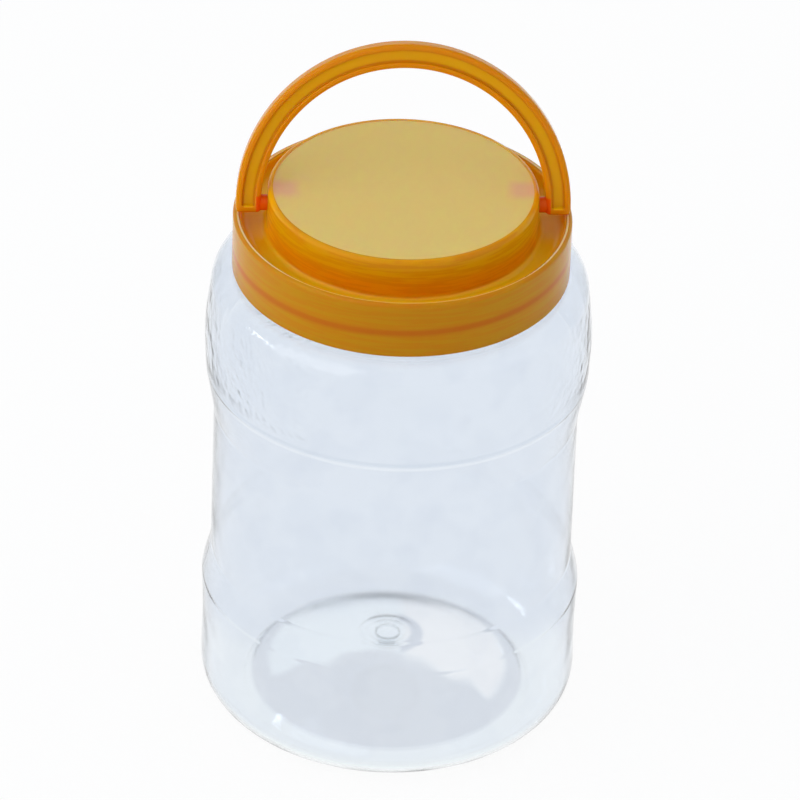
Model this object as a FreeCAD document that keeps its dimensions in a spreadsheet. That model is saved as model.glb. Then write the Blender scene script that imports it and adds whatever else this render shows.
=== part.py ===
import FreeCAD, Part
import math
import os

import Sketcher

# Wide-mouth jar for honey: a blown clear body with a round neck, a translucent screw lid with a
# raised hollow boss, a foam sealing liner and a folding carrying bail.
# Millimetres, +Z up, origin at the centre of the ring that the jar stands on.
# The front of the jar is -Y, and the bail turns about an axis parallel to X.

V = FreeCAD.Vector

# Driving sizes. Each one can be changed by itself.
DIMENSIONS = {
    # Blown body, from the ground up. Insets are measured inward from the widest radius.
    "body_radius": 63.4,
    "body_wall": 0.9,
    "heel_round": 12.5,
    "foot_width": 2.2,
    "foot_round": 0.6,
    "push_up_lean": 3.5,
    "push_up_step": 3.6,
    "push_up_round": 1.2,
    "push_up_dome": 3.0,
    "gate_radius": 4.0,
    "gate_length": 1.2,
    "gate_round": 0.5,
    "band_inset": 0.9,
    "band_waist": 0.5,
    "band_top": 45.0,
    "band_slope": 11.0,
    "band_round": 4.0,
    "waist_round": 150.0,
    "panel_inset": 3.6,
    "panel_height": 55.0,
    "panel_foot_round": 6.0,
    "panel_head_round": 8.0,
    "crease_inset": 0.7,
    "crease_rise": 16.0,
    "crease_round": 3.0,
    "shoulder_round": 60.0,
    "dome_peak": 15.0,
    "dome_height": 36.6,
    "dome_inset": 2.5,
    "dome_round": 7.0,
    "neck_inset": 12.0,
    "neck_slope": 0.8,
    "neck_wall": 2.0,
    "neck_height": 12.5,
    "neck_root_round": 1.0,
    "mouth_round": 0.5,
    # Screw lid
    "thread_room": 1.8,
    "lid_lift": 0.6,
    "skirt_wall": 1.8,
    "skirt_round": 0.6,
    "rim_width": 2.6,
    "rim_round": 1.2,
    "ceiling_wall": 1.6,
    "ceiling_round": 0.8,
    "trough_depth": 4.8,
    "trough_round": 2.0,
    "cove_round": 3.4,
    "boss_draft": 0.3,
    "boss_wall": 1.8,
    "boss_round": 1.4,
    "boss_plate": 1.5,
    "plate_margin": 1.7,
    "plate_recess": 0.25,
    # Foam liner
    "liner_thickness": 1.5,
    "liner_side_gap": 0.3,
    # Carrying bail, and where the lid holds it
    "bail_inset": 0.8,
    "bail_width": 8.1,
    "bail_thickness": 6.0,
    "bail_side_gap": 2.2,
    "bail_fold_gap": 0.7,
    "bail_round": 1.3,
    "bail_lean": 15.0,
    "leg_flat": 1.0,
    "channel_border": 2.0,
    "channel_foot": 0.6,
    "channel_depth": 1.8,
    "channel_draft": 4.0,
    "channel_round": 0.4,
    "pin_radius": 2.6,
    "pin_clearance": 0.08,
    "pin_reach": 9.1,
    "pin_chamfer": 0.8,
    "pin_cover": 3.0,
    # Shortest straight stretch left between two rounded corners
    "round_spare": 0.1,
}

# Places that follow from the driving sizes: where one piece seats on, in or round another.
LAYOUT = {
    # Outside of the blown body
    "band_radius": "=Dimensions.body_radius - Dimensions.band_inset",
    "waist_radius": "=band_radius - Dimensions.band_waist",
    "waist_level": "=(Dimensions.heel_round + Dimensions.band_top) / 2",
    "foot_inner": "=band_radius - Dimensions.heel_round - Dimensions.foot_width",
    "push_up_radius": "=foot_inner - Dimensions.push_up_lean",
    "push_up_top": "=Dimensions.push_up_step + Dimensions.push_up_dome",
    "gate_root": "=push_up_top - Dimensions.push_up_dome * Dimensions.gate_radius / push_up_radius",
    "gate_tip": "=gate_root - Dimensions.gate_length",
    "panel_radius": "=Dimensions.body_radius - Dimensions.panel_inset",
    "panel_bottom": "=Dimensions.band_top + Dimensions.band_slope",
    "panel_top": "=panel_bottom + Dimensions.panel_height",
    "crease_radius": "=Dimensions.body_radius - Dimensions.crease_inset",
    "crease_level": "=panel_top + Dimensions.crease_rise",
    "peak_level": "=crease_level + Dimensions.dome_peak",
    "dome_radius": "=Dimensions.body_radius - Dimensions.dome_inset",
    "dome_level": "=crease_level + Dimensions.dome_height",
    "neck_radius": "=Dimensions.body_radius - Dimensions.neck_inset",
    "neck_base": "=dome_level + Dimensions.neck_slope",
    "mouth_level": "=neck_base + Dimensions.neck_height",
    # Inside of the blown body
    "neck_bore": "=neck_radius - Dimensions.neck_wall",
    "inner_neck_base": "=neck_base - Dimensions.neck_wall",
    "inner_dome": "=dome_radius - Dimensions.body_wall",
    "inner_dome_level": "=dome_level - Dimensions.body_wall",
    "inner_dome_round": "=Dimensions.dome_round - Dimensions.body_wall",
    "inner_peak": "=Dimensions.body_radius - Dimensions.body_wall",
    "inner_crease": "=crease_radius - Dimensions.body_wall",
    "inner_panel": "=panel_radius - Dimensions.body_wall",
    "inner_band": "=band_radius - Dimensions.body_wall",
    "inner_waist": "=waist_radius - Dimensions.body_wall",
    "inner_heel_round": "=Dimensions.heel_round - Dimensions.body_wall",
    "step_slope": "=atan2(Dimensions.push_up_step; Dimensions.push_up_lean)",
    "step_mitre": "=Dimensions.body_wall * tan(step_slope / 2)",
    "inner_foot": "=foot_inner + step_mitre",
    "inner_push_up": "=push_up_radius + step_mitre",
    "inner_push_up_step": "=Dimensions.push_up_step + Dimensions.body_wall",
    "inner_push_up_top": "=push_up_top + Dimensions.body_wall",
    # Lid round the neck, liner under its ceiling
    "skirt_base": "=neck_base + Dimensions.lid_lift",
    "skirt_bore": "=neck_radius + Dimensions.thread_room",
    "lid_radius": "=skirt_bore + Dimensions.skirt_wall",
    "liner_radius": "=skirt_bore - Dimensions.ceiling_round - Dimensions.liner_side_gap",
    "ceiling_level": "=mouth_level + Dimensions.liner_thickness",
    "trough_level": "=ceiling_level + Dimensions.ceiling_wall",
    "rim_level": "=trough_level + Dimensions.trough_depth",
    "rim_inner": "=lid_radius - Dimensions.rim_width",
    "cove_room": "=Dimensions.trough_depth - Dimensions.rim_round - Dimensions.round_spare",
    "cove_fit": "=min(Dimensions.cove_round; cove_room)",
    # Bail over the rim, boss inside the bail
    "bail_radius": "=lid_radius - Dimensions.bail_inset",
    "bail_inner": "=bail_radius - Dimensions.bail_width",
    "bail_half": "=Dimensions.bail_thickness / 2",
    "leg_round": "=bail_half - Dimensions.leg_flat",
    "pivot_level": "=rim_level + bail_half + Dimensions.bail_fold_gap",
    "boss_radius": "=bail_inner - Dimensions.bail_side_gap",
    "boss_foot": "=boss_radius + Dimensions.boss_draft",
    "boss_bore": "=boss_radius - Dimensions.boss_wall",
    "boss_level": "=pivot_level + Dimensions.pin_radius + Dimensions.pin_cover",
    "plate_radius": "=boss_radius - Dimensions.plate_margin",
    "plate_level": "=boss_level - Dimensions.plate_recess",
    "boss_ceiling": "=plate_level - Dimensions.boss_plate",
    "pin_hole_radius": "=Dimensions.pin_radius + Dimensions.pin_clearance",
    "pin_root": "=bail_inner + Dimensions.channel_border / 2",
    "pin_end": "=boss_bore - Dimensions.pin_reach",
    "pin_full": "=pin_end + Dimensions.pin_chamfer",
    "pin_tip_radius": "=Dimensions.pin_radius - Dimensions.pin_chamfer",
    "channel_outer": "=bail_radius - Dimensions.channel_border",
    "channel_inner": "=bail_inner + Dimensions.channel_border",
    "channel_end": "=Dimensions.leg_flat - Dimensions.channel_foot",
}

doc = FreeCAD.newDocument("HoneyJar")


def add_sheet(name, cells):
    """A spreadsheet with one aliased cell a row: the size's name beside its value or formula."""
    sheet = doc.addObject("Spreadsheet::Sheet", name)
    for row, (alias, content) in enumerate(cells.items(), start=1):
        sheet.set(f"A{row}", alias)
        sheet.set(f"B{row}", str(content))
        sheet.setAlias(f"B{row}", alias)
    doc.recompute()
    return sheet


dimensions = add_sheet("Dimensions", DIMENSIONS)
layout = add_sheet("Layout", LAYOUT)


def cell(alias):
    """The expression that reads a size from its sheet."""
    return f"Dimensions.{alias}" if alias in DIMENSIONS else f"Layout.{alias}"


def size(alias):
    """The present value of a size, for a sketch's starting geometry."""
    return float(getattr(dimensions if alias in DIMENSIONS else layout, alias))


def new_body(label):
    """An empty body whose label names its node."""
    body = doc.addObject("PartDesign::Body", label)
    body.Label = label
    return body


def origin_plane(body, role):
    """One of the body's own origin planes."""
    return next(item for item in body.Origin.OriginFeatures if item.Role == role)


def new_sketch(body, name, role, offset=None):
    """A sketch on an origin plane, moved along the plane's normal by a named size."""
    sketch = body.newObject("Sketcher::SketchObject", name)
    sketch.AttachmentSupport = [(origin_plane(body, role), "")]
    sketch.MapMode = "FlatFace"
    if offset:
        sketch.setExpression("AttachmentOffset.Base.z", cell(offset))
    return sketch


def bind(sketch, kind, references, alias):
    """Adds a dimensional constraint and ties its value to a named size."""
    index = sketch.addConstraint(Sketcher.Constraint(kind, *references, size(alias)))
    sketch.setExpression(f"Constraints[{index}]", cell(alias))


def place(sketch, point, across, up):
    """Puts a sketch point at two named distances from the origin; None means on that axis."""
    if across:
        bind(sketch, "DistanceX", (-1, 1, *point), across)
    else:
        sketch.addConstraint(Sketcher.Constraint("PointOnObject", *point, -2))
    if up:
        bind(sketch, "DistanceY", (-1, 1, *point), up)
    else:
        sketch.addConstraint(Sketcher.Constraint("PointOnObject", *point, -1))


def round_off(before, corner, after, radius):
    """The two tangent points and the centre of the arc that rounds a corner."""
    back = (before - corner).normalize()
    onward = (after - corner).normalize()
    half_angle = back.getAngle(onward) / 2
    reach = radius / math.tan(half_angle)
    centre = corner + (back + onward).normalize() * (radius / math.sin(half_angle))
    return corner + back * reach, corner + onward * reach, centre


def corner_arc(centre, radius, start, end):
    """The anticlockwise arc of a circle from one point to another."""
    first = math.atan2(start.y - centre.y, start.x - centre.x)
    last = math.atan2(end.y - centre.y, end.x - centre.x)
    if last < first:
        last += 2 * math.pi
    return Part.ArcOfCircle(Part.Circle(centre, V(0, 0, 1), radius), first, last)


def outline_sketch(body, name, corners):
    """A closed outline in the XZ plane.

    Each corner is (across, up, rounding), all names of sizes. None for a distance puts the
    corner on that axis, and None for the rounding leaves it sharp.
    """
    sketch = new_sketch(body, name, "XZ_Plane")
    count = len(corners)
    points = [V(size(x) if x else 0, size(z) if z else 0, 0) for x, z, _ in corners]
    arrivals = list(points)
    departures = list(points)
    arcs = {}
    for i, (_, _, rounding) in enumerate(corners):
        if rounding:
            before, here, after = points[i - 1], points[i], points[(i + 1) % count]
            radius = size(rounding)
            arrivals[i], departures[i], centre = round_off(before, here, after, radius)
            ends = [arrivals[i], departures[i]]
            if (here - before).cross(after - here).z < 0:
                ends.reverse()
            arcs[i] = corner_arc(centre, radius, *ends)
    for i in range(count):
        sketch.addGeometry(Part.LineSegment(departures[i], arrivals[(i + 1) % count]))
    for i, (across, up, rounding) in enumerate(corners):
        arriving, leaving = (i - 1) % count, i
        if rounding:
            arc = sketch.addGeometry(arcs[i])
            anticlockwise = arcs[i].StartPoint.isEqual(arrivals[i], Part.Precision.confusion())
            first, last = (1, 2) if anticlockwise else (2, 1)
            sketch.addConstraint(Sketcher.Constraint("Tangent", arriving, 2, arc, first))
            sketch.addConstraint(Sketcher.Constraint("Tangent", leaving, 1, arc, last))
            bind(sketch, "Radius", (arc,), rounding)
            corner = sketch.addGeometry(Part.Point(points[i]), True)
            sketch.addConstraint(Sketcher.Constraint("PointOnObject", corner, 1, arriving))
            sketch.addConstraint(Sketcher.Constraint("PointOnObject", corner, 1, leaving))
        else:
            corner = leaving
            sketch.addConstraint(Sketcher.Constraint("Coincident", arriving, 2, leaving, 1))
        place(sketch, (corner, 1), across, up)
    return sketch


def revolve(body, name, corners, axis="V_Axis"):
    """Turns a closed outline a full turn about one of its sketch's axes."""
    sketch = outline_sketch(body, f"{name}Outline", corners)
    turned = body.newObject("PartDesign::Revolution", name)
    turned.Profile = sketch
    turned.ReferenceAxis = (sketch, [axis])
    turned.Angle = 360
    doc.recompute()
    return turned


def mirror(body, name, feature, role):
    """Repeats a feature on the other side of one of the body's origin planes."""
    mirrored = body.newObject("PartDesign::Mirrored", name)
    mirrored.Originals = [feature]
    mirrored.MirrorPlane = (origin_plane(body, role), [""])
    body.Tip = mirrored
    doc.recompute()
    return mirrored


def require_cut(before, after):
    """Stops if a pocket removed nothing."""
    if not after.Shape.Volume < before.Shape.Volume:
        raise RuntimeError(f"{after.Label} cuts nothing")


def make_jar():
    """Blown body, as one closed outline: up the outside and down the inside.

    It has a stepped push-up base with the gate's nub, two full bands with a recessed label
    panel between them, a domed shoulder above a moulded crease, and a thicker neck.
    """
    body = new_body("jar_body")
    outside = [
        (None, "gate_tip", None),
        ("gate_radius", "gate_tip", "gate_round"),
        ("gate_radius", "gate_root", None),
        ("push_up_radius", "push_up_step", "push_up_round"),
        ("foot_inner", None, "foot_round"),
        ("band_radius", None, "heel_round"),
        ("waist_radius", "waist_level", "waist_round"),
        ("band_radius", "band_top", "band_round"),
        ("panel_radius", "panel_bottom", "panel_foot_round"),
        ("panel_radius", "panel_top", "panel_head_round"),
        ("crease_radius", "crease_level", "crease_round"),
        ("body_radius", "peak_level", "shoulder_round"),
        ("dome_radius", "dome_level", "dome_round"),
        ("neck_radius", "neck_base", "neck_root_round"),
        ("neck_radius", "mouth_level", "mouth_round"),
    ]
    inside = [
        ("neck_bore", "mouth_level", "mouth_round"),
        ("neck_bore", "inner_neck_base", "neck_root_round"),
        ("inner_dome", "inner_dome_level", "inner_dome_round"),
        ("inner_peak", "peak_level", "shoulder_round"),
        ("inner_crease", "crease_level", "crease_round"),
        ("inner_panel", "panel_top", "panel_head_round"),
        ("inner_panel", "panel_bottom", "panel_foot_round"),
        ("inner_band", "band_top", "band_round"),
        ("inner_waist", "waist_level", "waist_round"),
        ("inner_band", "body_wall", "inner_heel_round"),
        ("inner_foot", "body_wall", "foot_round"),
        ("inner_push_up", "inner_push_up_step", "push_up_round"),
        (None, "inner_push_up_top", None),
    ]
    revolve(body, "BlownShell", outside + inside)
    return body


def make_lid():
    """Screw lid: skirt, rim, trough for the folded bail, and a hollow boss with pin holes."""
    body = new_body("screw_lid")
    corners = [
        (None, "plate_level", None),
        ("plate_radius", "plate_level", None),
        ("plate_radius", "boss_level", None),
        ("boss_radius", "boss_level", "boss_round"),
        ("boss_foot", "trough_level", "trough_round"),
        ("rim_inner", "trough_level", "cove_fit"),
        ("rim_inner", "rim_level", "rim_round"),
        ("lid_radius", "rim_level", "rim_round"),
        ("lid_radius", "skirt_base", "skirt_round"),
        ("skirt_bore", "skirt_base", "skirt_round"),
        ("skirt_bore", "ceiling_level", "ceiling_round"),
        ("boss_bore", "ceiling_level", "ceiling_round"),
        ("boss_bore", "boss_ceiling", "ceiling_round"),
        (None, "boss_ceiling", None),
    ]
    shell = revolve(body, "MouldedShell", corners)
    sketch = new_sketch(body, "PinHoleSketch", "YZ_Plane")
    radius = size("pin_hole_radius")
    centre = V(0, size("pivot_level"), 0)
    ring = sketch.addGeometry(Part.Circle(centre, V(0, 0, 1), radius))
    bind(sketch, "Radius", (ring,), "pin_hole_radius")
    place(sketch, (ring, 3), None, "pivot_level")
    holes = body.newObject("PartDesign::Pocket", "PinHoles")
    holes.Profile = sketch
    holes.Type = "ThroughAll"
    holes.SideType = "Symmetric"
    doc.recompute()
    require_cut(shell, holes)
    return body


def make_liner():
    """Foam disc that the lid presses on the mouth."""
    liner = doc.addObject("Part::Cylinder", "sealing_liner")
    liner.Label = "sealing_liner"
    liner.setExpression("Radius", cell("liner_radius"))
    liner.setExpression("Height", cell("liner_thickness"))
    liner.setExpression("Placement.Base.z", cell("mouth_level"))
    return liner


def arch_sketch(body, name, outer, inner, drop, offset=None):
    """A half ring about the pivot, with straight legs that end a drop below it."""
    sketch = new_sketch(body, name, "XZ_Plane", offset)
    far, near, low = size(outer), size(inner), -size(drop)
    arcs = {}
    for alias in (outer, inner):
        circle = Part.Circle(V(0, 0, 0), V(0, 0, 1), size(alias))
        arcs[alias] = sketch.addGeometry(Part.ArcOfCircle(circle, 0, math.pi))
        sketch.addConstraint(Sketcher.Constraint("Coincident", arcs[alias], 3, -1, 1))
        sketch.addConstraint(Sketcher.Constraint("PointOnObject", arcs[alias], 1, -1))
        sketch.addConstraint(Sketcher.Constraint("PointOnObject", arcs[alias], 2, -1))
        bind(sketch, "Radius", (arcs[alias],), alias)
    for side, end in ((1, 1), (-1, 2)):
        corners = [V(side * x, y, 0) for x, y in ((far, 0), (far, low), (near, low), (near, 0))]
        down, across, back = [
            sketch.addGeometry(Part.LineSegment(a, b)) for a, b in zip(corners, corners[1:])
        ]
        sketch.addConstraint(Sketcher.Constraint("Tangent", arcs[outer], end, down, 1))
        sketch.addConstraint(Sketcher.Constraint("Coincident", down, 2, across, 1))
        sketch.addConstraint(Sketcher.Constraint("Horizontal", across))
        sketch.addConstraint(Sketcher.Constraint("Coincident", across, 2, back, 1))
        sketch.addConstraint(Sketcher.Constraint("Tangent", arcs[inner], end, back, 2))
        bind(sketch, "DistanceY", (down, 2, -1, 1), drop)
    return sketch


def soften(body, name, feature, edges, radius):
    """Rounds some of a feature's edges by a named radius."""
    fillet = body.newObject("PartDesign::Fillet", name)
    fillet.Base = (feature, edges)
    fillet.setExpression("Radius", cell(radius))
    doc.recompute()
    return fillet


def edges_by_run(feature, along_pivot):
    """The names of the edges that are, or are not, straight and parallel to the pivot."""
    names = []
    for i, edge in enumerate(feature.Shape.Edges, start=1):
        ends = [vertex.Point for vertex in edge.Vertexes]
        run = abs((ends[-1] - ends[0]).x)
        if (abs(run - edge.Length) < Part.Precision.confusion()) == along_pivot:
            names.append(f"Edge{i}")
    return names


def new_edges(before, after):
    """The names of the edges that a shape has and an earlier one lacks."""
    old = [edge.CenterOfMass for edge in before.Edges]
    tolerance = Part.Precision.confusion()
    return [
        f"Edge{i}"
        for i, edge in enumerate(after.Edges, start=1)
        if not any(edge.CenterOfMass.isEqual(centre, tolerance) for centre in old)
    ]


def make_bail():
    """Carrying bail: half ring of H section with two pins that snap into the boss.

    It is drawn upright about its pivot, then set on the pivot with a lean to the back.
    """
    body = new_body("carrying_bail")
    bar = body.newObject("PartDesign::Pad", "Bar")
    bar.Profile = arch_sketch(body, "BarSketch", "bail_radius", "bail_inner", "bail_half")
    bar.SideType = "Symmetric"
    bar.setExpression("Length", cell("bail_thickness"))
    doc.recompute()
    leg_ends = soften(body, "LegEnds", bar, edges_by_run(bar, True), "leg_round")
    other_edges = edges_by_run(leg_ends, False)
    rounded_bar = soften(body, "RoundedBar", leg_ends, other_edges, "bail_round")
    channel = body.newObject("PartDesign::Pocket", "Channel")
    channel.Profile = arch_sketch(
        body, "ChannelSketch", "channel_outer", "channel_inner", "channel_end", "bail_half"
    )
    channel.setExpression("Length", cell("channel_depth"))
    channel.setExpression("TaperAngle", cell("channel_draft"))
    doc.recompute()
    require_cut(rounded_bar, channel)
    channels = mirror(body, "BothChannels", channel, "XZ_Plane")
    channel_edges = new_edges(rounded_bar.Shape, channels.Shape)
    soften(body, "RoundedChannels", channels, channel_edges, "channel_round")
    pin_corners = [
        ("pin_root", None, None),
        ("pin_root", "pin_radius", None),
        ("pin_full", "pin_radius", None),
        ("pin_end", "pin_tip_radius", None),
        ("pin_end", None, None),
    ]
    pin = revolve(body, "Pin", pin_corners, "H_Axis")
    mirror(body, "BothPins", pin, "YZ_Plane")
    body.Placement = FreeCAD.Placement(V(0, 0, 0), FreeCAD.Rotation(V(-1, 0, 0), 1))
    body.setExpression("Placement.Rotation.Angle", cell("bail_lean"))
    body.setExpression("Placement.Base.z", cell("pivot_level"))
    return body


def check(pieces):
    """Stops if any object failed or any piece is not one valid solid."""
    for item in doc.Objects:
        if "Invalid" in item.State or "Error" in item.State:
            raise RuntimeError(f"{item.Label} failed: {item.State}")
    for piece in pieces:
        shape = piece.Shape
        if shape.isNull() or not shape.isValid() or len(shape.Solids) != 1:
            raise RuntimeError(f"{piece.Label} is not one valid solid")


pieces = [make_jar(), make_lid(), make_liner(), make_bail()]
doc.recompute()
check(pieces)
os.makedirs("parts", exist_ok=True)
for piece in pieces:
    piece.Shape.exportStep(f"parts/{piece.Label}.step")
    print(f"{piece.Label}: {piece.Shape.Volume:.0f} cubic millimetres")
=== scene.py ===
import math

import bpy
from mathutils import Matrix, Vector


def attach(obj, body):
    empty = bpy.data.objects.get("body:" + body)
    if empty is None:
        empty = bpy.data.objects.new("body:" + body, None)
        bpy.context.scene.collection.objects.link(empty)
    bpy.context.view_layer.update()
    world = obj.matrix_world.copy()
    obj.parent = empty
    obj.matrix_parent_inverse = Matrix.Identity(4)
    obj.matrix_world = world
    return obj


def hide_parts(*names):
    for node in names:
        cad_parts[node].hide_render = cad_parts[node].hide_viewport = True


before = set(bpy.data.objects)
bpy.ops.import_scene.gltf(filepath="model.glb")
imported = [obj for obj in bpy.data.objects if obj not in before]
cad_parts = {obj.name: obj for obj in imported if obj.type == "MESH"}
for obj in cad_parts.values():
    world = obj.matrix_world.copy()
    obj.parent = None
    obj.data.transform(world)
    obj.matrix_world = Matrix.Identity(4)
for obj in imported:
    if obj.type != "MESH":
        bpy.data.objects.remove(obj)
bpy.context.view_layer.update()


# --- Camera ---
# A long lens looks down at the jar from the front, a little from the left. It stands so far off
# that upright lines stay nearly parallel, and it leans a little to one side.
camera_target = Vector((0.0013, 0.0, 0.1121))
camera_distance = 2.703
camera_elevation = math.radians(33.63)
camera_azimuth = math.radians(-3.0)
camera_roll = math.radians(2.1)

camera_data = bpy.data.cameras.new("camera")
camera_data.sensor_width = 36.0
camera_data.lens = 370.3
camera_data.clip_end = 50.0
camera = bpy.data.objects.new("camera", camera_data)
bpy.context.scene.collection.objects.link(camera)
camera_back = Vector((
    math.sin(camera_azimuth) * math.cos(camera_elevation),
    -math.cos(camera_azimuth) * math.cos(camera_elevation),
    math.sin(camera_elevation),
))
camera.location = camera_target + camera_back * camera_distance
aim = (-camera_back).to_track_quat("-Z", "Y").to_matrix()
camera.rotation_euler = (aim @ Matrix.Rotation(camera_roll, 3, "Z")).to_euler()
bpy.context.scene.camera = camera
bpy.context.scene.view_settings.view_transform = "Standard"


# --- Floor, backdrop and lamps ---
# A pale studio: the floor runs into a white background, and it keeps a faint shadow.
# The camera, mirrors and clear plastic see both as white. From below, the floor isn't there.
studio_blue = (0.86, 0.92, 1.0, 1.0)
studio_light = 0.70
backdrop_white = (1.0, 1.0, 1.0, 1.0)
floor_paper = (0.94, 0.94, 0.94, 1.0)
floor_glow = 0.94
floor_size = 14.0
floor_drop = 0.0002
lamp_target = Vector((0.0, 0.0, 0.15))


def reckon(tree, operation, *values):
    """One step of arithmetic on numbers or on other nodes' values."""
    node = tree.nodes.new("ShaderNodeMath")
    node.operation = operation
    for index, value in enumerate(values):
        if isinstance(value, (int, float)):
            node.inputs[index].default_value = value
        else:
            tree.links.new(value, node.inputs[index])
    return node.outputs[0]


def seen_directly(tree):
    """A mask that is 1 for the camera, for reflections and through clear plastic."""
    rays = tree.nodes.new("ShaderNodeLightPath").outputs
    direct = reckon(tree, "MAXIMUM", rays["Is Camera Ray"], rays["Is Glossy Ray"])
    return reckon(tree, "MAXIMUM", direct, rays["Is Transmission Ray"])


world = bpy.data.worlds.new("studio")
bpy.context.scene.world = world
world.use_nodes = True
tree = world.node_tree
tree.nodes.clear()
surroundings = tree.nodes.new("ShaderNodeBackground")
surroundings.inputs["Color"].default_value = studio_blue
surroundings.inputs["Strength"].default_value = studio_light
white = tree.nodes.new("ShaderNodeBackground")
white.inputs["Color"].default_value = backdrop_white
white.inputs["Strength"].default_value = 1.0
choice = tree.nodes.new("ShaderNodeMixShader")
world_output = tree.nodes.new("ShaderNodeOutputWorld")
tree.links.new(seen_directly(tree), choice.inputs["Fac"])
tree.links.new(surroundings.outputs[0], choice.inputs[1])
tree.links.new(white.outputs[0], choice.inputs[2])
tree.links.new(choice.outputs[0], world_output.inputs["Surface"])

bpy.ops.object.select_all(action="DESELECT")
bpy.ops.mesh.primitive_plane_add(size=floor_size, location=(0.0, 0.0, -floor_drop))
floor = bpy.context.object
floor.name = "floor"
floor_finish = bpy.data.materials.new("floor_white")
floor_finish.use_nodes = True
tree = floor_finish.node_tree
tree.nodes.clear()
paper = tree.nodes.new("ShaderNodeBsdfDiffuse")
paper.inputs["Color"].default_value = floor_paper
glow = tree.nodes.new("ShaderNodeEmission")
glow.inputs["Strength"].default_value = 1.0
nothing = tree.nodes.new("ShaderNodeBsdfTransparent")
top = tree.nodes.new("ShaderNodeMixShader")
sides = tree.nodes.new("ShaderNodeMixShader")
facing = tree.nodes.new("ShaderNodeNewGeometry")
floor_output = tree.nodes.new("ShaderNodeOutputMaterial")
tree.links.new(reckon(tree, "MULTIPLY", seen_directly(tree), floor_glow), top.inputs["Fac"])
tree.links.new(paper.outputs[0], top.inputs[1])
tree.links.new(glow.outputs[0], top.inputs[2])
tree.links.new(facing.outputs["Backfacing"], sides.inputs["Fac"])
tree.links.new(top.outputs[0], sides.inputs[1])
tree.links.new(nothing.outputs[0], sides.inputs[2])
tree.links.new(sides.outputs[0], floor_output.inputs["Surface"])
floor.data.materials.append(floor_finish)


def add_lamp(name, place, width, height, power):
    """A soft lamp of a given width and height that faces the jar."""
    data = bpy.data.lights.new(name, "AREA")
    data.shape = "RECTANGLE"
    data.size = width
    data.size_y = height
    data.energy = power
    lamp = bpy.data.objects.new(name, data)
    bpy.context.scene.collection.objects.link(lamp)
    lamp.location = place
    lamp.rotation_euler = (lamp_target - Vector(place)).to_track_quat("-Z", "Y").to_euler()


add_lamp("window_lamp", place=(-1.1, -0.7, 1.1), width=1.5, height=1.5, power=9.0)
add_lamp("fill_lamp", place=(1.3, -0.6, 0.9), width=1.0, height=1.0, power=1.2)
add_lamp("glint_lamp", place=(-1.7, 0.15, 0.95), width=0.40, height=0.20, power=3.0)


# --- Jar body ---
# Blown in one piece from clear PET with a faint blue tone. The mould leaves the surface glossy,
# with slow waves where the wall's thickness varies, small crinkles on the shoulder and a faint line
# where the mould's halves meet. Painted light: a dark and a pale line along the crease, and a base
# painted grey in front and paler at the heel's front and at the back, with a painted highlight and
# a painted dark crescent.
wall = 0.0009
neck_wall = 0.002
gate_radius = 0.004
gate_length = 0.0012
gate_round = 0.0005
crown = (0.0, 0.0190)
crown_edge = (0.0205, 0.0190)
crown_round = 0.0640
dome_edge = (0.0443, 0.0036)
dome_round = 0.0012
foot_edge = (0.0478, 0.0)
foot_round = 0.0020
heel_round = 0.0125
waist_radius = 0.0620
waist_level = 0.02875
waist_round = 0.1500
band_radius = 0.0625
band_top = 0.0450
band_round = 0.0040
panel_radius = 0.0598
panel_bottom = 0.0560
panel_bottom_round = 0.0060
panel_top = 0.1110
panel_top_round = 0.0080
crease_radius = 0.0627
crease_level = 0.1270
crease_round = 0.0030
bulge_radius = 0.0634
bulge_level = 0.1420
bulge_round = 0.0600
shoulder_radius = 0.0609
shoulder_level = 0.1636
shoulder_round = 0.0070
neck_radius = 0.0514
neck_base = 0.1644
neck_base_round = 0.0010
mouth_level = 0.1769
mouth_round = 0.0005
jar_steps = 160

# How many degrees a step of a rounded corner takes, up to which bend the facets look smooth, and
# how close two points are that count as one.
arc_step = 3.0
smooth_angle = math.radians(40.0)
same_point = 0.00001
merged_point = 0.000001


def select_where(piece, wanted):
    """Goes to edit mode with just the vertices selected that a test picks out."""
    bpy.ops.object.mode_set(mode="EDIT")
    bpy.ops.mesh.select_mode(type="VERT")
    bpy.ops.mesh.select_all(action="DESELECT")
    bpy.ops.object.mode_set(mode="OBJECT")
    for vertex in piece.data.vertices:
        vertex.select = wanted(vertex.co)
    bpy.ops.object.mode_set(mode="EDIT")


def draw_outline(name, corners):
    """A closed outline in the XZ plane; each corner is (across, up, rounding)."""
    bpy.ops.object.select_all(action="DESELECT")
    bpy.ops.mesh.primitive_plane_add()
    outline = bpy.context.object
    outline.name = name
    bpy.ops.object.mode_set(mode="EDIT")
    bpy.ops.mesh.select_all(action="SELECT")
    bpy.ops.mesh.merge(type="CENTER")
    points = [Vector((across, 0.0, up)) for across, up, _ in corners]
    bpy.ops.transform.translate(value=points[0])
    for before, here in zip(points, points[1:]):
        bpy.ops.mesh.extrude_region_move(TRANSFORM_OT_translate={"value": here - before})
    bpy.ops.mesh.select_all(action="SELECT")
    bpy.ops.mesh.edge_face_add()
    for index, (_, _, rounding) in enumerate(corners):
        if not rounding:
            continue
        here = points[index]
        before = points[index - 1]
        after = points[(index + 1) % len(points)]
        half_turn = (here - before).angle(after - here) / 2
        select_where(outline, lambda co: (co - here).length < same_point)
        bpy.ops.mesh.bevel(
            offset=rounding * math.tan(half_turn),
            segments=max(3, round(math.degrees(half_turn) / arc_step)),
            affect="VERTICES",
        )
    bpy.ops.object.mode_set(mode="OBJECT")
    return outline


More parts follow.
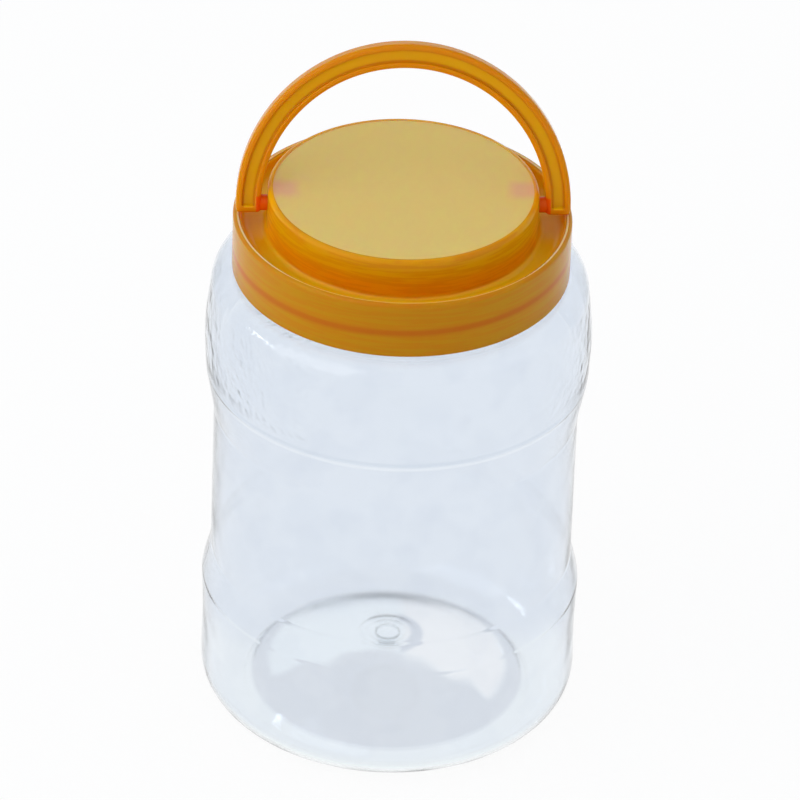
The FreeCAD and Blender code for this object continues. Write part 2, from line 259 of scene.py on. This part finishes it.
def turn_outline(outline, steps):
    """Turns an outline that starts and ends on the axis into a solid of revolution."""
    select_where(outline, lambda co: abs(co.x) < same_point)
    bpy.ops.mesh.delete(type="EDGE")
    bpy.ops.object.mode_set(mode="OBJECT")
    turning = outline.modifiers.new("turning", "SCREW")
    turning.axis = "Z"
    turning.angle = math.tau
    turning.steps = turning.render_steps = steps
    turning.use_merge_vertices = True
    turning.merge_threshold = merged_point
    bpy.ops.object.modifier_apply(modifier=turning.name)
    bpy.ops.object.mode_set(mode="EDIT")
    bpy.ops.mesh.select_all(action="SELECT")
    bpy.ops.mesh.normals_make_consistent(inside=False)
    bpy.ops.object.mode_set(mode="OBJECT")
    bpy.ops.object.shade_smooth_by_angle(angle=smooth_angle)


def inner_corner(before, here, after):
    """Where the inside of the wall turns, when its outside turns at a corner."""
    arriving = Vector((here[0] - before[0], here[1] - before[1])).normalized()
    leaving = Vector((after[0] - here[0], after[1] - here[1])).normalized()
    first = Vector((-arriving.y, arriving.x))
    second = Vector((-leaving.y, leaving.x))
    return Vector(here[:2]) + (first + second) * wall / (1.0 + first.dot(second))


neck_bore = neck_radius - neck_wall
heel = (band_radius, 0.0)
side_corners = [
    (waist_radius, waist_level, waist_round),
    (band_radius, band_top, band_round),
    (panel_radius, panel_bottom, panel_bottom_round),
    (panel_radius, panel_top, panel_top_round),
    (crease_radius, crease_level, crease_round),
    (bulge_radius, bulge_level, bulge_round),
]
outside = [
    (0.0, crown[1] - gate_length, 0.0),
    (gate_radius, crown[1] - gate_length, gate_round),
    (gate_radius, crown[1], 0.0),
    (*crown_edge, crown_round),
    (*dome_edge, dome_round),
    (*foot_edge, foot_round),
    (*heel, heel_round),
    *side_corners,
    (shoulder_radius, shoulder_level, shoulder_round),
    (neck_radius, neck_base, neck_base_round),
    (neck_radius, mouth_level, mouth_round),
]
inside = [
    (neck_bore, mouth_level, mouth_round),
    (neck_bore, neck_base - neck_wall, neck_base_round),
    (shoulder_radius - wall, shoulder_level - wall, shoulder_round - wall),
    *((across - wall, up, rounding) for across, up, rounding in reversed(side_corners)),
    (band_radius - wall, wall, heel_round - wall),
    (*inner_corner(dome_edge, foot_edge, heel), foot_round),
    (*inner_corner(crown_edge, dome_edge, foot_edge), dome_round),
    (*inner_corner(crown, crown_edge, dome_edge), crown_round),
    (0.0, crown[1] + wall, 0.0),
]
blown_jar = draw_outline("blown_jar", outside + inside)
turn_outline(blown_jar, jar_steps)


def new_group(name, inputs, outputs):
    """An empty node group with number sockets, and the nodes at its two ends."""
    group = bpy.data.node_groups.new(name, "ShaderNodeTree")
    for socket, value in inputs.items():
        made = group.interface.new_socket(socket, in_out="INPUT", socket_type="NodeSocketFloat")
        made.default_value = value
    for socket in outputs:
        group.interface.new_socket(socket, in_out="OUTPUT", socket_type="NodeSocketFloat")
    return group, group.nodes.new("NodeGroupInput"), group.nodes.new("NodeGroupOutput")


def make_place_group():
    """Where a point lies on the jar: from the axis, up, to the side and to the back."""
    group, _, end = new_group("place_on_jar", {}, ("Radius", "Height", "Side", "Depth"))
    coordinates = group.nodes.new("ShaderNodeTexCoord").outputs["Object"]
    split = group.nodes.new("ShaderNodeSeparateXYZ")
    group.links.new(coordinates, split.inputs[0])
    across = group.nodes.new("ShaderNodeVectorMath")
    across.operation = "MULTIPLY"
    across.inputs[1].default_value = (1.0, 1.0, 0.0)
    group.links.new(coordinates, across.inputs[0])
    length = group.nodes.new("ShaderNodeVectorMath")
    length.operation = "LENGTH"
    group.links.new(across.outputs[0], length.inputs[0])
    group.links.new(length.outputs["Value"], end.inputs["Radius"])
    group.links.new(split.outputs["Z"], end.inputs["Height"])
    group.links.new(split.outputs["X"], end.inputs["Side"])
    group.links.new(split.outputs["Y"], end.inputs["Depth"])
    return group


def make_band_group():
    """A mask that is 1 between two values and 0 beyond them, with soft ends."""
    inputs = {"Value": 0.0, "Low": 0.0, "High": 1.0, "Softness": 0.001}
    group, start, end = new_group("soft_band", inputs, ("Mask",))
    steps = []
    for edge, outwards in (("Low", "SUBTRACT"), ("High", "ADD")):
        step = group.nodes.new("ShaderNodeMapRange")
        step.interpolation_type = "SMOOTHSTEP"
        outer = reckon(group, outwards, start.outputs[edge], start.outputs["Softness"])
        group.links.new(start.outputs["Value"], step.inputs["Value"])
        group.links.new(outer, step.inputs["From Min"])
        group.links.new(start.outputs[edge], step.inputs["From Max"])
        steps.append(step.outputs[0])
    group.links.new(reckon(group, "MULTIPLY", *steps), end.inputs["Mask"])
    return group


def make_waves_group():
    """The uneven height of a moulded surface; the scale is its fineness per metre."""
    group, start, end = new_group("moulded_waves", {"Scale": 50.0, "Detail": 2.0}, ("Height",))
    noise = group.nodes.new("ShaderNodeTexNoise")
    coordinates = group.nodes.new("ShaderNodeTexCoord").outputs["Object"]
    group.links.new(coordinates, noise.inputs["Vector"])
    group.links.new(start.outputs["Scale"], noise.inputs["Scale"])
    group.links.new(start.outputs["Detail"], noise.inputs["Detail"])
    group.links.new(noise.outputs["Fac"], end.inputs["Height"])
    return group


place_on_jar = make_place_group()
soft_band = make_band_group()
moulded_waves = make_waves_group()


def use_group(tree, group, **values):
    """A group's outputs in a material, with its own values."""
    node = tree.nodes.new("ShaderNodeGroup")
    node.node_tree = group
    for socket, value in values.items():
        if isinstance(value, (int, float)):
            node.inputs[socket].default_value = value
        else:
            tree.links.new(value, node.inputs[socket])
    return node.outputs


def band(tree, value, low, high, softness):
    """The mask of a soft band."""
    return use_group(tree, soft_band, Value=value, Low=low, High=high, Softness=softness)["Mask"]


def waves(tree, fineness, detail):
    """The height of a moulded surface's waves."""
    return use_group(tree, moulded_waves, Scale=fineness, Detail=detail)["Height"]


def overlap(tree, first, *others):
    """Where masks overlap; a height or a strength may take the place of one of them."""
    for other in others:
        first = reckon(tree, "MULTIPLY", first, other)
    return first


def paint(tree, shader, ground, *coats):
    """Colours a surface: the ground's colour, and each coat's colour where its mask says."""
    tone = ground
    for colour, mask in coats:
        mix = tree.nodes.new("ShaderNodeMix")
        mix.data_type = "RGBA"
        if tone is ground:
            mix.inputs["A"].default_value = ground
        else:
            tree.links.new(tone, mix.inputs["A"])
        mix.inputs["B"].default_value = colour
        tree.links.new(mask, mix.inputs["Factor"])
        tone = mix.outputs["Result"]
    tree.links.new(tone, shader.inputs["Base Color"])


def add_bump(tree, shader, height, distance, below=None):
    """Raises the surface by a height, over any bump below it."""
    bump = tree.nodes.new("ShaderNodeBump")
    bump.inputs["Distance"].default_value = distance
    tree.links.new(height, bump.inputs["Height"])
    if below:
        tree.links.new(below.outputs["Normal"], bump.inputs["Normal"])
    tree.links.new(bump.outputs["Normal"], shader.inputs["Normal"])
    return bump


def new_finish(name, **sockets):
    """A plastic's material, with constants set on its shader's own sockets."""
    finish = bpy.data.materials.new(name)
    finish.use_nodes = True
    shader = finish.node_tree.nodes["Principled BSDF"]
    for socket, value in sockets.items():
        shader.inputs[socket.replace("_", " ")].default_value = value
    return finish, finish.node_tree, shader


# Colours of the wall and the base; besides the wall's own tones they are painted shade, painted
# light and painted highlights.
wall_blue = (0.845, 0.882, 0.932, 1.0)
wall_pale = (0.865, 0.90, 0.945, 1.0)
# Painted shade: a darker line along the shoulder's crease; painted highlight: a paler line just
# under it.
crease_painted_shade = (0.80, 0.845, 0.90, 1.0)
crease_painted_highlight = (0.93, 0.955, 0.98, 1.0)
# Painted highlight: the front of the heel is painted paler.
heel_painted_highlight = (0.96, 0.99, 1.0, 1.0)
# The dome: grey as painted shade, paler and white towards the back and right as painted light and a
# painted highlight, and a crescent of painted shade by the gate.
dome_painted_shade = (0.82, 0.845, 0.88, 1.0)
dome_painted_light = (0.94, 0.98, 1.0, 1.0)
dome_painted_highlight = (1.0, 1.0, 1.0, 1.0)
dome_crescent_shade = (0.77, 0.80, 0.85, 1.0)

# Bands of the masks as (low, high, softness). A band without an end on one side stops far away.
far_below = -2.0
far_above = 2.0
heel_highlight_levels = (far_below, 0.006, 0.006)
heel_highlight_radii = (0.0454, far_above, 0.0008)
heel_highlight_depths = (far_below, 0.012, 0.020)
dome_levels = (far_below, 0.0205, 0.001)
dome_radii = (far_below, 0.0448, 0.0006)
lit_back_radii = (far_below, 0.0380, 0.003)
lit_back_depths = (0.003, far_above, 0.004)
brightest_part_sides = (0.008, far_above, 0.005)
shade_crescent_radii = (0.0085, 0.0110, 0.0015)
shade_crescent_sides = (0.0050, far_above, 0.002)
wall_radii = (0.0590, far_above, 0.0002)
pale_patches = (0.52, far_above, 0.10)
crease_shade_levels = (0.1278, 0.1286, 0.0005)
crease_highlight_levels = (0.1262, 0.1268, 0.0006)
shoulder_levels = (0.134, 0.162, 0.006)
creased_sides = (-0.051, -0.033, 0.006)
creased_depths = (-0.06, -0.030, 0.008)
parting_depths = (-0.0002, 0.0002, 0.0005)
parting_levels = (0.012, 0.158, 0.002)
parting_radii = (0.0500, far_above, 0.002)
gate_ring = (0.0045, 0.0095, 0.002)

# Waves as (fineness per metre, detail), and how high each kind of relief stands.
wall_waves = (30.0, 2.0)
patch_waves = (55.0, 3.0)
lit_edge_waves = (40.0, 1.0)
crinkle_waves = (170.0, 1.0)
crease_waves = (240.0, 1.0)
lit_edge_wander = 0.030
ripple_fineness = 2200.0
wall_relief = 0.0003
crinkle_relief = 0.00018
crease_relief = 0.00045
parting_relief = 0.00002
ripple_relief = 0.00010

clear_pet, tree, shader = new_finish(
    "clear_pet", Base_Color=wall_blue, Transmission_Weight=1.0, Roughness=0.08, IOR=1.36
)
place = use_group(tree, place_on_jar)
# Painted highlight over the front of the heel.
heel_highlight = overlap(
    tree,
    band(tree, place["Height"], *heel_highlight_levels),
    band(tree, place["Radius"], *heel_highlight_radii),
    band(tree, place["Depth"], *heel_highlight_depths),
)
# Painted shade and light on the dome: grey in front, paler at the back behind a wavy edge,
# brightest at the back right, and a dark crescent right of the gate.
dome = overlap(
    tree,
    band(tree, place["Height"], *dome_levels),
    band(tree, place["Radius"], *dome_radii),
)
lit_back_edge = reckon(
    tree, "MULTIPLY_ADD", waves(tree, *lit_edge_waves), lit_edge_wander, place["Depth"]
)
dome_lit_back = overlap(
    tree, band(tree, place["Radius"], *lit_back_radii), band(tree, lit_back_edge, *lit_back_depths)
)
dome_brightest_part = overlap(tree, dome_lit_back, band(tree, place["Side"], *brightest_part_sides))
shade_crescent = overlap(
    tree,
    band(tree, place["Radius"], *shade_crescent_radii),
    band(tree, place["Side"], *shade_crescent_sides),
)
wall_side = band(tree, place["Radius"], *wall_radii)
# Painted shade along the crease, and a painted highlight just under it.
crease_shade_line = overlap(tree, wall_side, band(tree, place["Height"], *crease_shade_levels))
crease_highlight_line = overlap(tree, wall_side, band(tree, place["Height"], *crease_highlight_levels))
paint(
    tree,
    shader,
    wall_blue,
    (wall_pale, band(tree, waves(tree, *patch_waves), *pale_patches)),
    (crease_painted_shade, crease_shade_line),
    (crease_painted_highlight, crease_highlight_line),
    (heel_painted_highlight, heel_highlight),
    (dome_painted_shade, dome),
    (dome_painted_light, overlap(tree, dome, dome_lit_back)),
    (dome_painted_highlight, overlap(tree, dome, dome_brightest_part)),
    (dome_crescent_shade, overlap(tree, dome, shade_crescent)),
)
shoulder = band(tree, place["Height"], *shoulder_levels)
crinkles = overlap(tree, waves(tree, *crinkle_waves), shoulder)
creased_patch = overlap(
    tree,
    band(tree, place["Side"], *creased_sides),
    band(tree, place["Depth"], *creased_depths),
)
creases = overlap(tree, waves(tree, *crease_waves), shoulder, creased_patch)
parting = overlap(
    tree,
    band(tree, place["Depth"], *parting_depths),
    band(tree, place["Height"], *parting_levels),
    band(tree, place["Radius"], *parting_radii),
)
ripples = overlap(
    tree,
    reckon(tree, "SINE", reckon(tree, "MULTIPLY", place["Radius"], ripple_fineness)),
    overlap(tree, dome, band(tree, place["Radius"], *gate_ring)),
)
uneven = add_bump(tree, shader, waves(tree, *wall_waves), wall_relief)
crinkled = add_bump(tree, shader, crinkles, crinkle_relief, uneven)
creased = add_bump(tree, shader, creases, crease_relief, crinkled)
parted = add_bump(tree, shader, parting, parting_relief, creased)
add_bump(tree, shader, ripples, ripple_relief, parted)

blown_jar.data.materials.append(clear_pet)
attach(blown_jar, "jar")
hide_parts("jar_body")


# --- Neck thread ---
# A right-handed rib of clear PET, blown with the neck and sunk a hair into its wall. It is not
# quite one turn long, and its ends run out: thread_run_out holds the thickness of the first and
# last rings as shares of the full rib.
thread_pitch = 0.006
thread_steps = 120
thread_run_out = (0.1, 0.4, 0.7, 0.92)
rib_round = 0.00025
rib_round_steps = 3
neck_rib_radii = (0.05135, 0.0526)
neck_rib_widths = (0.0024, 0.0009)
neck_rib_turn = (math.radians(-120.0), math.radians(200.0))
neck_rib_level = 0.1703


def wind_rib(name, radii, widths, turn, level):
    """A thread's rib about +Z; radii and widths are of its root and crest, level its start."""
    root, crest = radii
    root_width, crest_width = widths
    first, last = turn
    depth = abs(crest - root)
    bpy.ops.object.select_all(action="DESELECT")
    bpy.ops.mesh.primitive_plane_add(
        size=1.0, location=((root + crest) / 2, 0.0, level), rotation=(math.pi / 2, 0.0, 0.0)
    )
    rib = bpy.context.object
    rib.name = name
    rib.scale = (depth, root_width, 1.0)
    bpy.ops.object.transform_apply(location=True, rotation=True, scale=True)
    select_where(rib, lambda co: abs(co.x - crest) < depth / 2)
    bpy.ops.transform.resize(
        value=(1.0, 1.0, crest_width / root_width), center_override=(crest, 0.0, level)
    )
    bpy.ops.mesh.bevel(offset=rib_round, segments=rib_round_steps, affect="VERTICES")
    bpy.ops.mesh.select_all(action="SELECT")
    bpy.ops.mesh.delete(type="ONLY_FACE")
    bpy.ops.object.mode_set(mode="OBJECT")
    swept = last - first
    winding = rib.modifiers.new("winding", "SCREW")
    winding.axis = "Z"
    winding.angle = swept
    winding.screw_offset = thread_pitch * swept / math.tau
    winding.steps = winding.render_steps = thread_steps
    winding.use_merge_vertices = False
    bpy.ops.object.modifier_apply(modifier=winding.name)
    step = swept / thread_steps
    for ring, share in enumerate(thread_run_out):
        for angle in (ring * step, swept - ring * step):
            select_where(
                rib,
                lambda co: abs(math.remainder(math.atan2(co.y, co.x) - angle, math.tau)) < step / 2,
            )
            centre = (
                root * math.cos(angle),
                root * math.sin(angle),
                level + thread_pitch * angle / math.tau,
            )
            bpy.ops.transform.resize(value=(share, share, share), center_override=centre)
    bpy.ops.mesh.select_all(action="SELECT")
    bpy.ops.mesh.fill_holes(sides=0)
    bpy.ops.mesh.normals_make_consistent(inside=False)
    bpy.ops.object.mode_set(mode="OBJECT")
    rib.rotation_euler.z = first
    bpy.ops.object.transform_apply(location=False, rotation=True, scale=False)
    bpy.ops.object.shade_smooth_by_angle(angle=smooth_angle)
    return rib


neck_thread = wind_rib(
    "neck_thread", neck_rib_radii, neck_rib_widths, neck_rib_turn, neck_rib_level
)
neck_thread.data.materials.append(clear_pet)
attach(neck_thread, "jar")


# --- Screw lid ---
# Injection moulded in translucent amber polypropylene, glossy all over except for the
# spark-eroded disc on the boss. The walls glow, redder where the plastic is thick or where the
# thread and the bail's pins lie behind it. Painted light: a brighter trough, a deeper orange glow
# at the boss's foot, lighter patches round the pins and a painted highlight along the rim.
amber_plastic = {
    "Transmission_Weight": 0.12,
    "Subsurface_Weight": 1.0,
    "Subsurface_Radius": (1.0, 0.35, 0.05),
    "Subsurface_Scale": 0.002,
    "IOR": 1.4,
    "Specular_IOR_Level": 0.12,
}
amber_roughness = 0.16
disc_roughness = 0.6
# Painted light: the trough is painted brighter than the rest of the lid, to make up for the shade
# it lies in between the boss and the rim.
trough_lightened_amber = (1.0, 0.49, 0.006, 1.0)
boss_amber = (0.78, 0.365, 0.002, 1.0)
# Painted glow: the boss's foot is painted a deeper orange, as if lit through from the inside.
boss_foot_glow_amber = (0.81, 0.285, 0.001, 1.0)
# Round each pin the boss and trough are painted redder where the pin shows through, and painted
# lighter against the shade of the bail.
pin_red_and_lightened_amber = (1.0, 0.42, 0.004, 1.0)
skirt_amber = (0.63, 0.29, 0.003, 1.0)
streak_amber = (0.66, 0.20, 0.001, 1.0)
thread_amber = (0.61, 0.17, 0.002, 1.0)
# Painted highlight: a pale line along the rim's inner top edge, paler still at the left and right.
rim_highlight_amber = (0.95, 0.52, 0.09, 1.0)
rim_side_highlight_pale = (1.0, 0.74, 0.38, 1.0)
disc_frost = (1.0, 0.64, 0.195, 1.0)
pin_frost = (1.0, 0.49, 0.25, 1.0)

# The lid's own rib, which shows through the skirt as a redder band. The next section winds it.
lid_rib_turn = (math.radians(-10.0), math.radians(345.0))
lid_rib_level = 0.1695
rib_end = 0.1
rib_levels = (-0.0003, 0.0003, 0.0018)
rib_angles = (rib_end, lid_rib_turn[1] - lid_rib_turn[0] - rib_end, 2 * rib_end)

# Bands of the masks as (low, high, softness).
boss_radii = (far_below, 0.0442, 0.0006)
boss_glow_levels = (far_below, 0.1845, 0.0050)
skirt_radii = (0.0530, far_above, 0.0004)
rim_highlight_radii = (0.0533, 0.0537, 0.0002)
rim_highlight_levels = (0.1842, far_above, 0.0003)
rim_highlight_sides = (0.046, far_above, 0.012)
disc_radii = (far_below, 0.0421, 0.0002)
disc_levels = (0.1937, far_above, 0.0001)
pin_sides = (0.0370, 0.0450, 0.0050)
pin_depths = (-0.0016, 0.0016, 0.0058)
pin_lightened_sides = (0.0415, 0.0535, 0.0015)
pin_lightened_depths = (-0.0050, 0.0050, 0.0140)
streak_band = (0.58, far_above, 0.16)

# Streaks along the flow of the plastic: how fine they are up the wall and around it.
streaks_up = 900.0
streaks_around = 2.5
streak_strength = 0.40
amber_waves = (60.0, 2.0)
amber_relief = 0.0002
disc_grain = (1500.0, 2.0)
disc_relief = 0.00003

amber_lid, tree, shader = new_finish("amber_lid", Base_Color=skirt_amber, **amber_plastic)
place = use_group(tree, place_on_jar)
to_side = reckon(tree, "ABSOLUTE", place["Side"])
angle = reckon(tree, "ARCTAN2", place["Depth"], place["Side"])
boss = band(tree, place["Radius"], *boss_radii)
# Painted glow at the foot of the boss.
boss_foot_glow = overlap(tree, boss, band(tree, place["Height"], *boss_glow_levels))
skirt = band(tree, place["Radius"], *skirt_radii)
# Painted highlight along the rim, paler at the sides.
rim_highlight = overlap(
    tree,
    band(tree, place["Radius"], *rim_highlight_radii),
    band(tree, place["Height"], *rim_highlight_levels),
)
rim_side_highlight = overlap(tree, rim_highlight, band(tree, to_side, *rim_highlight_sides))
disc = overlap(
    tree,
    band(tree, place["Radius"], *disc_radii),
    band(tree, place["Height"], *disc_levels),
)
pins = overlap(
    tree, band(tree, to_side, *pin_sides), band(tree, place["Depth"], *pin_depths)
)
# The pin's red showing through, and painted light against the bail's shade.
pin_showing_and_lightened = overlap(
    tree, band(tree, to_side, *pin_lightened_sides), band(tree, place["Depth"], *pin_lightened_depths)
)
wound = reckon(tree, "WRAP", reckon(tree, "SUBTRACT", angle, lid_rib_turn[0]), math.tau, 0.0)
rib_middle = reckon(tree, "MULTIPLY_ADD", wound, thread_pitch / math.tau, lid_rib_level)
off_rib = reckon(tree, "SUBTRACT", place["Height"], rib_middle)
rib = overlap(tree, band(tree, off_rib, *rib_levels), band(tree, wound, *rib_angles))
flow = tree.nodes.new("ShaderNodeTexNoise")
flow.noise_dimensions = "2D"
flow.inputs["Scale"].default_value = 1.0
along = tree.nodes.new("ShaderNodeCombineXYZ")
up_the_wall = reckon(tree, "ADD", place["Radius"], place["Height"])
around = reckon(tree, "ABSOLUTE", angle)
tree.links.new(reckon(tree, "MULTIPLY", up_the_wall, streaks_up), along.inputs["X"])
tree.links.new(reckon(tree, "MULTIPLY", around, streaks_around), along.inputs["Y"])
tree.links.new(along.outputs[0], flow.inputs["Vector"])
streaks = overlap(
    tree,
    band(tree, flow.outputs["Fac"], *streak_band),
    streak_strength,
    reckon(tree, "MAXIMUM", boss, skirt),
)
paint(
    tree,
    shader,
    trough_lightened_amber,
    (boss_amber, boss),
    (boss_foot_glow_amber, boss_foot_glow),
    (pin_red_and_lightened_amber, pin_showing_and_lightened),
    (skirt_amber, skirt),
    (streak_amber, streaks),
    (thread_amber, overlap(tree, skirt, rib)),
    (rim_highlight_amber, rim_highlight),
    (rim_side_highlight_pale, rim_side_highlight),
    (disc_frost, disc),
    (pin_frost, overlap(tree, disc, pins)),
)
roughness = tree.nodes.new("ShaderNodeMapRange")
roughness.inputs["To Min"].default_value = amber_roughness
roughness.inputs["To Max"].default_value = disc_roughness
tree.links.new(disc, roughness.inputs["Value"])
tree.links.new(roughness.outputs[0], shader.inputs["Roughness"])
soft = add_bump(tree, shader, waves(tree, *amber_waves), amber_relief)
add_bump(tree, shader, overlap(tree, waves(tree, *disc_grain), disc), disc_relief, soft)


def dress(node, finish):
    """Gives a CAD node its finish in all its material slots."""
    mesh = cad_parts[node].data
    if not mesh.materials:
        mesh.materials.append(finish)
    for index in range(len(mesh.materials)):
        mesh.materials[index] = finish


dress("screw_lid", amber_lid)


# --- Lid thread ---
# The skirt's own rib, moulded inside it in the same amber and almost one turn long. It runs
# under the neck's thread and so pulls the lid down on the liner.
lid_rib_radii = (0.05325, 0.0519)
lid_rib_widths = (0.0023, 0.0009)

lid_thread = wind_rib("lid_thread", lid_rib_radii, lid_rib_widths, lid_rib_turn, lid_rib_level)
lid_thread.data.materials.append(amber_lid)
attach(lid_thread, "lid")


# --- Sealing liner ---
# A disc die cut from white foamed polyethylene, with a fine closed-cell skin. It lies under the
# lid's ceiling, and the lid presses it on the mouth.
foam_white = (0.90, 0.89, 0.85, 1.0)
foam_cells = (1400.0, 2.0)
foam_relief = 0.0001

liner_foam, tree, shader = new_finish("liner_foam", Base_Color=foam_white, Roughness=0.6)
add_bump(tree, shader, waves(tree, *foam_cells), foam_relief)
dress("sealing_liner", liner_foam)


# --- Carrying bail ---
# Injection moulded in the lid's amber plastic, in one piece with its pins. The flanges and the
# solid ends of the legs are thick, so they look redder than the thin web between the flanges.
flange_amber = (0.76, 0.29, 0.002, 1.0)
web_amber = (0.87, 0.48, 0.001, 1.0)
foot_amber = (0.88, 0.13, 0.001, 1.0)
bail_pivot = (0.0, 0.0, 0.1885)

# Bands of the masks as (low, high, softness).
web_reach = (0.0491, 0.0512, 0.0008)
web_levels = (bail_pivot[2], far_above, 0.0003)
inner_foot_levels = (far_below, 0.1915, 0.0010)
inner_foot_sides = (far_below, 0.0474, 0.0005)
under_edge_levels = (far_below, 0.1860, 0.0008)

amber_bail, tree, shader = new_finish(
    "amber_bail", Base_Color=web_amber, Roughness=amber_roughness, **amber_plastic
)
place = use_group(tree, place_on_jar)
reach = tree.nodes.new("ShaderNodeVectorMath")
reach.operation = "DISTANCE"
reach.inputs[1].default_value = bail_pivot
tree.links.new(tree.nodes.new("ShaderNodeTexCoord").outputs["Object"], reach.inputs[0])
web = overlap(
    tree,
    band(tree, reach.outputs["Value"], *web_reach),
    band(tree, place["Height"], *web_levels),
)
inner_foot = overlap(
    tree,
    band(tree, place["Height"], *inner_foot_levels),
    band(tree, reckon(tree, "ABSOLUTE", place["Side"]), *inner_foot_sides),
)
under_edge = band(tree, place["Height"], *under_edge_levels)
foot = reckon(tree, "MAXIMUM", inner_foot, under_edge)
paint(tree, shader, flange_amber, (web_amber, web), (foot_amber, foot))
add_bump(tree, shader, waves(tree, *amber_waves), amber_relief)
dress("carrying_bail", amber_bail)
